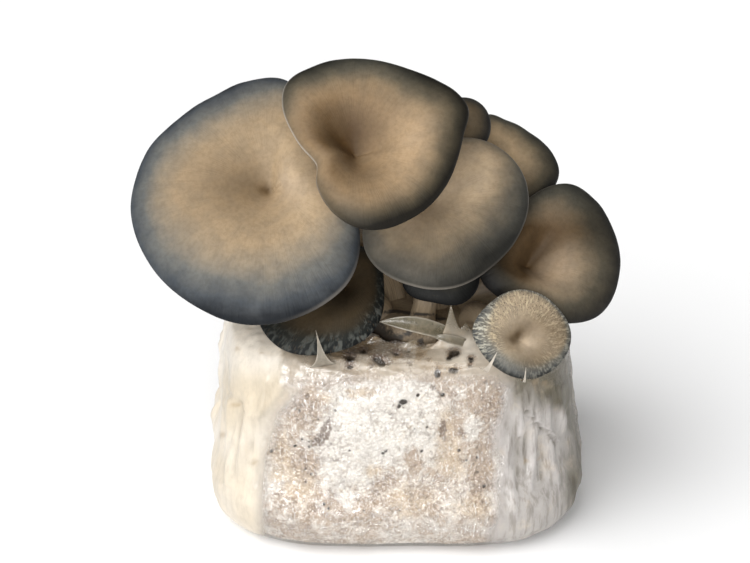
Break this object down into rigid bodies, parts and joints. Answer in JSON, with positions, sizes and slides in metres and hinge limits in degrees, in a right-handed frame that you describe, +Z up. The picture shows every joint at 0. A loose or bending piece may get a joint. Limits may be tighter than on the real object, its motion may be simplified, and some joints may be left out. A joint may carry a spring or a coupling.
{
  "type": "oyster mushroom grow bag",
  "caption": "Clear plastic grow bag around a white mycelium block, torn open at the top where a cluster of blue-grey and tan oyster mushrooms leans forward.",
  "frame": {"origin": "middle of the bag's flat bottom", "axes": "+Z up, the bag's front and the cluster's lean face -Y, +X to the right as seen from the front"},
  "size_m": [0.1851, 0.1251, 0.1904],
  "materials": {
    "film": "clear glossy film",
    "substrate": "white mycelium with tan blotches, damp",
    "cap": "soft satin, tan with blue-grey rims",
    "stem": "matte fibrous"
  },
  "bodies": {
    "root": {"bag_film": "film", "substrate_block": "substrate", "cluster_base": "stem", "cap_large_left": "cap", "stem_large_left": "stem", "cap_top_centre": "cap", "stem_top_centre": "stem", "cap_middle_right": "cap", "stem_middle_right": "stem", "cap_small_back": "cap", "stem_small_back": "stem", "cap_upper_right": "cap", "stem_upper_right": "stem", "cap_lower_right": "cap", "stem_lower_right": "stem", "cap_small_front": "cap", "stem_small_front": "stem", "cap_lower_left": "cap", "stem_lower_left": "stem", "cap_low_centre": "cap", "stem_low_centre": "stem"}
  },
  "joints": []
}
